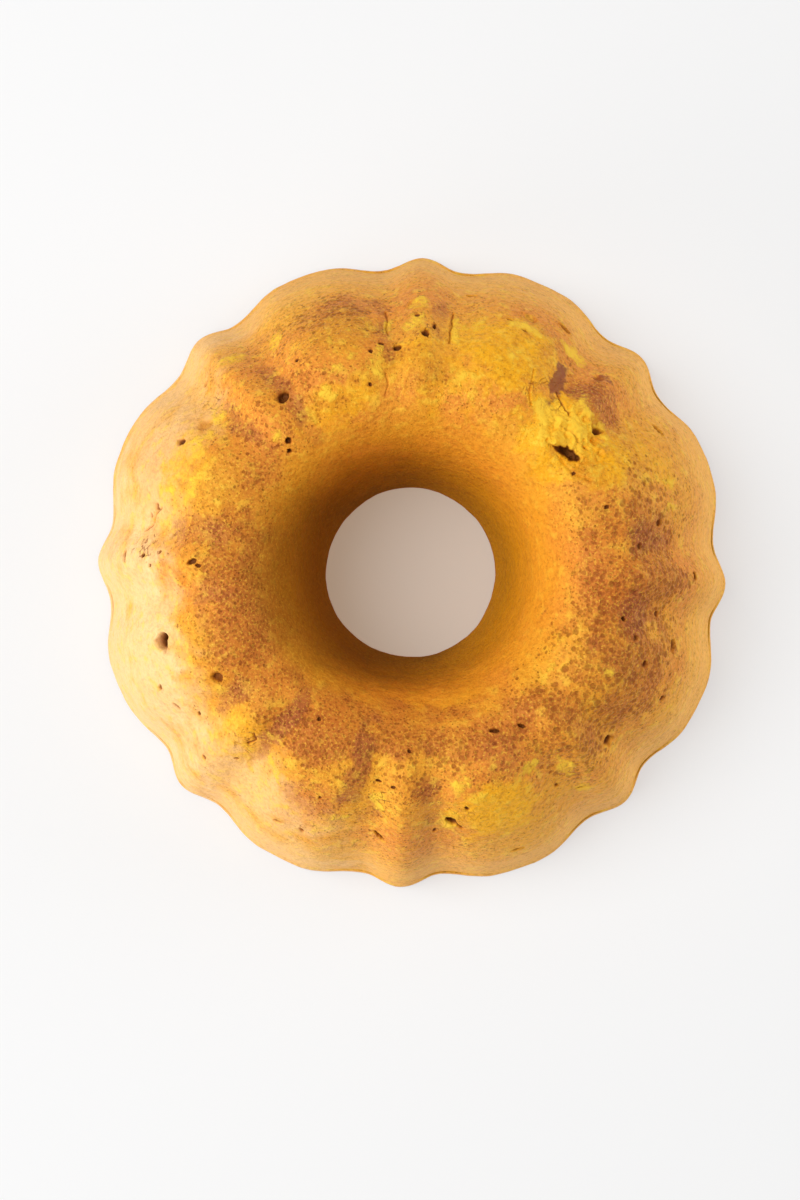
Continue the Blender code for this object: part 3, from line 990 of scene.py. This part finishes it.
class CrustPattern:
    """Where each feature of the crust shows, as values from about 0 to 1 over its surface."""

    def __init__(self, graph: Graph, size: Grain) -> None:
        """Lay out the clouds, read what the points hold, and work out the features from them."""
        self.graph = graph
        self.size = size
        self.place = graph.add("ShaderNodeTexCoord", output="Object")
        sockets = {"Vector": self.place, "Scale": 1.0 / size.wander, "Detail": 1.0}
        wander = graph.add("ShaderNodeTexNoise", None, sockets, "Color")
        self.warped = graph.add(
            "ShaderNodeVectorMath",
            {"operation": "MULTIPLY_ADD"},
            {0: wander, 1: (size.wander_reach,) * 3, 2: self.place},
        )
        self.broad = graph.cloud(self.place, size.broad)
        self.mid = graph.cloud(self.place, size.mid, 3.0)
        self.patchy = graph.cloud(self.warped, size.patchy, 3.0)
        self.fine = graph.cloud(self.warped, size.fine, 3.0, 0.6)
        self.grain = graph.cloud(self.place, size.grain, 2.0, 0.6)
        height = graph.add("ShaderNodeSeparateXYZ", None, {0: self.place}, "Z")
        self.baked = graph.attribute("baked")
        self.inner = graph.attribute("inner")
        self.shaded = graph.attribute("shaded")
        self.under = graph.attribute("under")
        # How dark the holes and cracks are painted: warm rims, and painted shade in the deeper ones
        self.hollow = graph.attribute("hollow")
        self.foot = height.rise(size.foot_start, size.foot_full)
        # The lower wall, lightened all round as painted light for its sheen and the floor's bounce light
        self.low = height.rise(size.low_light_start, size.low_light_full) * (1.0 - self.baked)
        self.read_tints()
        self.pores = self.scatter_pores()
        self.cracks = self.scatter_cracks()

    def tint(self, tint: Tint) -> Value:
        """The strength of a tint, as it is painted on the points."""
        return self.graph.attribute(tint.value)

    def read_tints(self) -> None:
        """Read the painted tints, and break up their soft edges with the clouds."""
        mid = self.mid - 0.5
        patchy = self.patchy - 0.5
        fine = self.fine - 0.5
        blotchy = mid + (self.broad - 0.5) * 0.4 + self.low * 0.12
        self.brown = (self.tint(Tint.BROWN) + blotchy).rise(0.1, 0.95)
        self.stain_and_shade = (self.tint(Tint.STAIN_AND_SHADE) + mid * 0.8 + patchy * 0.5).rise(0.2, 0.95)
        self.olive = self.tint(Tint.OLIVE) * (0.4 + 0.9 * self.mid)
        # The side toward the lamps: paler crust with painted light and sheen
        self.pale = (self.tint(Tint.PALE_AND_LIT) * (0.6 + 0.8 * self.mid)).at_most(1.0)
        self.yellow = (self.tint(Tint.YELLOW) + patchy + mid * 0.8).rise(0.12, 0.85)
        self.scar = (self.tint(Tint.SCAR) + fine * 1.2 + patchy * 0.6).rise(0.2, 0.85)
        torn = (self.tint(Tint.CRUMB) + patchy * 1.5 + fine * 1.3).rise(0.25, 0.95)
        self.crumb = torn * self.tint(Tint.CRUMB).rise(0.02, 0.2)

    def scatter_pores(self) -> Value:
        """Scatter pores of four sizes, the more the browner the crust is or the more it is pored."""
        mid = self.mid - 0.5
        bare = self.pale * 0.3 + self.yellow * 0.25 + self.inner * 0.5 + self.low * 0.15
        pored = self.tint(Tint.PORED) + 0.36 - bare + mid * 0.5
        pored = pored.at_least(0.01).at_most(1.0)
        bare = self.pale * 0.45 + self.yellow * 0.25 + self.inner * 0.35 + self.low * 0.12
        pocked = 0.4 + self.brown * 0.4 + pored * 0.3 - bare + mid * 1.2
        pocked = pocked.at_least(0.02).at_most(1.0)
        spots = self.graph.spots
        speckle = spots(self.warped, self.size.speckle, pocked * 0.48)
        small = spots(self.warped, self.size.small, pocked * 0.45)
        large = spots(self.warped, self.size.large, pored * (0.25 + 0.36 * self.mid))
        wide = spots(self.warped, self.size.wide, pored * (self.patchy * 0.8 - 0.14).at_least(0.01))
        pores = (small * 0.6).at_least(speckle * 0.6).at_least(large * 0.85).at_least(wide)
        return pores * (1.0 - self.crumb * 0.7)

    def scatter_cracks(self) -> Value:
        """Break a net of thin seams up into short cracks, in the places marked as cracked."""
        cracked = (self.tint(Tint.CRACKED) + (self.mid - 0.5) * 1.2).rise(0.35, 0.75)
        broken = self.graph.cloud(self.place, self.size.crack_break).rise(0.45, 0.6)
        return self.graph.seams(self.warped, self.size.crack, 0.08) * cracked * broken


@dataclass(frozen=True)
class BakedCrust:
    """The finish of baked crust: golden, browned in places, pored and satin to matt, with painted light
    and shade in its colour.
    """

    size: Grain = field(default_factory=Grain)
    gold: Colour = tone(242, 166, 46)
    amber: Colour = tone(236, 146, 52)
    olive: Colour = tone(216, 142, 30)
    browned: Colour = tone(200, 112, 42)
    # Purple-brown of the valleys: stained crust, darkened further as painted shade
    stain_and_shade: Colour = tone(176, 96, 50)
    # Whitish peach of the side toward the lamps: paler crust with painted light and sheen
    pale: Colour = tone(255, 210, 148)
    # Painted light: the lower wall lightened all round for its sheen and the floor's bounce light
    low: Colour = tone(255, 185, 70)
    yellow: Colour = tone(252, 180, 22)
    fleck: Colour = tone(255, 206, 66)
    crumb: Colour = tone(255, 204, 60)
    scar: Colour = tone(140, 70, 44)
    rich: Colour = tone(240, 154, 26)
    baked: Colour = tone(222, 149, 2)
    # Painted shade on the funnel's side turned from the lamps and low in the funnel
    funnel_shade: Colour = tone(120, 80, 8)
    warm: Colour = tone(176, 92, 30)
    # Painted shade in the middles of the holes, darker still on the side toward the lamps
    hollow: Colour = tone(110, 61, 19)
    hole_shade_lit_side: Colour = tone(78, 36, 10)
    under: Colour = tone(188, 116, 44)
    foot: Colour = tone(186, 108, 44)
    pore: Colour = (0.42, 0.28, 0.3, 1.0)
    grain: Colour = (0.66, 0.54, 0.5, 1.0)
    sheen: float = 0.14
    relief_height: float = MM
    relief_strength: float = 0.8

    def make(self) -> bpy.types.Material:
        """Build the material.

        Returns:
            The material, with all its nodes.
        """
        material = bpy.data.materials.new("baked_crust")
        graph = Graph(material)
        crust = CrustPattern(graph, self.size)
        roughness = 0.5 + (crust.fine - 0.5) * 0.25 + crust.crumb * 0.2 + crust.pores * 0.15
        roughness = (roughness + crust.under * 0.2 + crust.inner * 0.5).at_most(1.0)
        relief = crust.fine * 0.6 + crust.patchy * 1.1 + crust.grain * 0.3
        relief = relief - crust.pores * 0.45 - crust.cracks * 0.5 + crust.crumb * 0.3
        sockets = {"Strength": self.relief_strength, "Distance": self.relief_height, "Height": relief}
        bump = graph.add("ShaderNodeBump", None, sockets)
        sockets = {
            "Base Color": self.colour(graph, crust),
            "Roughness": roughness,
            "Specular IOR Level": self.sheen,
            "Normal": bump,
        }
        graph.plug(graph.shader, sockets)
        return material

    def colour(self, graph: Graph, crust: CrustPattern) -> Value:
        """Lay the crust's tones over one another.

        Args:
            graph: The material's nodes.
            crust: Where each feature of the crust shows.

        Returns:
            The colour over the whole surface.
        """
        flecks = crust.patchy.rise(0.52, 0.7) * (1.0 - crust.brown * 0.75)
        rich = crust.inner * (0.4 + 0.5 * crust.mid) * (1.0 - crust.brown * 0.85)
        mottle = 1.0 - crust.pale * 0.5 - crust.low * 0.15 - crust.inner * 0.3
        specks = crust.grain.rise(0.5, 0.3) * mottle * (1.0 - crust.inner * 0.6)
        colour = graph.blend(crust.broad.rise(0.35, 0.65), self.gold, self.amber)
        colour = graph.layers(
            colour,
            (
                (crust.olive, self.olive),
                # Painted light on the lower wall and on the side toward the lamps
                (crust.low * 0.8, self.low),
                (crust.pale * 0.95, self.pale),
                (crust.yellow * 0.85, self.yellow),
                (crust.brown * 0.8, self.browned),
                # The valleys' stained crust, with painted shade in them
                (crust.stain_and_shade * 0.75, self.stain_and_shade),
                (flecks * 0.5, self.fleck),
                (rich, self.rich),
                (crust.baked * 0.92, self.baked),
                # Painted shade in the funnel
                (crust.shaded, self.funnel_shade),
                (specks * 0.45, self.fleck),
            ),
        )
        colour = graph.blend(crust.fine.rise(0.42, 0.72) * mottle * 0.68, colour, self.grain, "MULTIPLY")
        colour = graph.blend(crust.pores * 0.74, colour, self.pore, "MULTIPLY")
        # Painted shade for the holes' middles, darker on the side toward the lamps
        deep = graph.blend(crust.pale * 0.8, self.hollow, self.hole_shade_lit_side)
        return graph.layers(
            colour,
            (
                (crust.crumb * (0.35 + crust.fine).at_most(1.0), self.crumb),
                (crust.scar * 0.85, self.scar),
                (crust.cracks * 0.8, self.warm),
                (crust.foot * 0.7, self.foot),
                (crust.under * (0.7 + 0.3 * crust.mid), self.under),
                # Warm rims of the holes and cracks, then painted shade in the middles of the deeper ones
                (crust.hollow.rise(0.0, 0.7) * 0.8, self.warm),
                (crust.hollow.rise(0.3, 0.9) * 0.95, deep),
            ),
        )


@dataclass(frozen=True)
class Lamp:
    """A large soft light: its bearing and rise in degrees, its size in metres and its power in watts."""

    name: str
    bearing: float
    rise: float
    size: float
    power: float
    distance: float = 2.0


@dataclass(frozen=True)
class Studio:
    """The pale floor, the soft light and the camera straight above."""

    floor_size: float = 8.0
    floor_shade: Colour = (0.36, 0.36, 0.36, 1.0)
    floor_roughness: float = 0.6
    floor_sheen: float = 0.2
    floor_glow: float = 0.54
    # Painted shadow on the floor within the funnel: it gives off less light there, tinted warm as by the
    # cake's bounce light
    hole_shadow_tint: Colour = (0.55, 0.41, 0.29, 1.0)
    hole_radius: float = 34.0 * MM
    camera_place: tuple[float, float, float] = (-4.07 * MM, -10.86 * MM, 900.0 * MM)
    camera_turn: float = math.radians(2.1)
    camera_lens: float = 69.7
    camera_sensor: float = 36.0
    room: float = 0.32
    lamps: tuple[Lamp, ...] = (
        Lamp("window", 172.0, 57.0, 1.4, 30.0),
        Lamp("window_foot", 218.0, 15.0, 1.4, 16.0),
        Lamp("card", 15.0, 14.0, 1.4, 17.0),
    )

    def build(self) -> None:
        """Set up the whole studio."""
        self.add_floor()
        for lamp in self.lamps:
            self.add_lamp(lamp)
        self.add_room()
        self.add_camera()
        LOG.info("studio: floor, %d lamps and camera", len(self.lamps))

    def add_floor(self) -> None:
        """Lay the floor."""
        bpy.ops.mesh.primitive_plane_add(size=self.floor_size)
        floor = bpy.context.object
        floor.name = "floor"
        material = bpy.data.materials.new("pale_floor")
        graph = Graph(material)
        place = graph.add("ShaderNodeTexCoord", output="Object")
        away = graph.add("ShaderNodeVectorMath", {"operation": "LENGTH"}, {0: place}, "Value")
        # The floor gives off light evenly, but less and warmer within the funnel, as a painted shadow
        glow_with_hole_shadow = graph.blend(away.rise(self.hole_radius, self.hole_radius + MM), self.hole_shadow_tint, (1.0,) * 4)
        sockets = {
            "Base Color": self.floor_shade,
            "Roughness": self.floor_roughness,
            "Specular IOR Level": self.floor_sheen,
            "Emission Color": glow_with_hole_shadow,
            "Emission Strength": self.floor_glow,
        }
        graph.plug(graph.shader, sockets)
        floor.data.materials.append(material)

    def add_lamp(self, lamp: Lamp) -> None:
        """Hang a lamp, facing the cake."""
        light = bpy.data.lights.new(lamp.name, "AREA")
        light.shape = "DISK"
        light.size = lamp.size
        light.energy = lamp.power
        holder = bpy.data.objects.new(lamp.name, light)
        bpy.context.scene.collection.objects.link(holder)
        rise = math.radians(lamp.rise)
        way = polar(lamp.bearing, math.cos(rise), math.sin(rise))
        holder.location = way * lamp.distance
        holder.rotation_mode = "QUATERNION"
        holder.rotation_quaternion = way.to_track_quat("Z", "Y")

    def add_room(self) -> None:
        """Set the room's own white light, and how the picture is shown."""
        world = bpy.data.worlds.new("room")
        world.use_nodes = True
        background = world.node_tree.nodes["Background"]
        background.inputs["Color"].default_value = (1.0, 1.0, 1.0, 1.0)
        background.inputs["Strength"].default_value = self.room
        bpy.context.scene.world = world
        bpy.context.scene.view_settings.view_transform = "Standard"

    def add_camera(self) -> None:
        """Look straight down on the cake."""
        camera = bpy.data.cameras.new("camera")
        camera.lens = self.camera_lens
        camera.sensor_width = self.camera_sensor
        holder = bpy.data.objects.new("camera", camera)
        bpy.context.scene.collection.objects.link(holder)
        holder.location = self.camera_place
        holder.rotation_euler = (0.0, 0.0, self.camera_turn)
        bpy.context.scene.camera = holder


def main() -> None:
    """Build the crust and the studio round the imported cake."""
    logging.basicConfig(level=logging.INFO, format="%(name)s: %(message)s")
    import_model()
    crust = Crust().build()
    crust.data.materials.append(BakedCrust().make())
    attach(crust, "root")
    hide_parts(NODE)
    Studio().build()
    LOG.info("crust stands for %s", NODE)


if __name__ == "__main__":
    main()
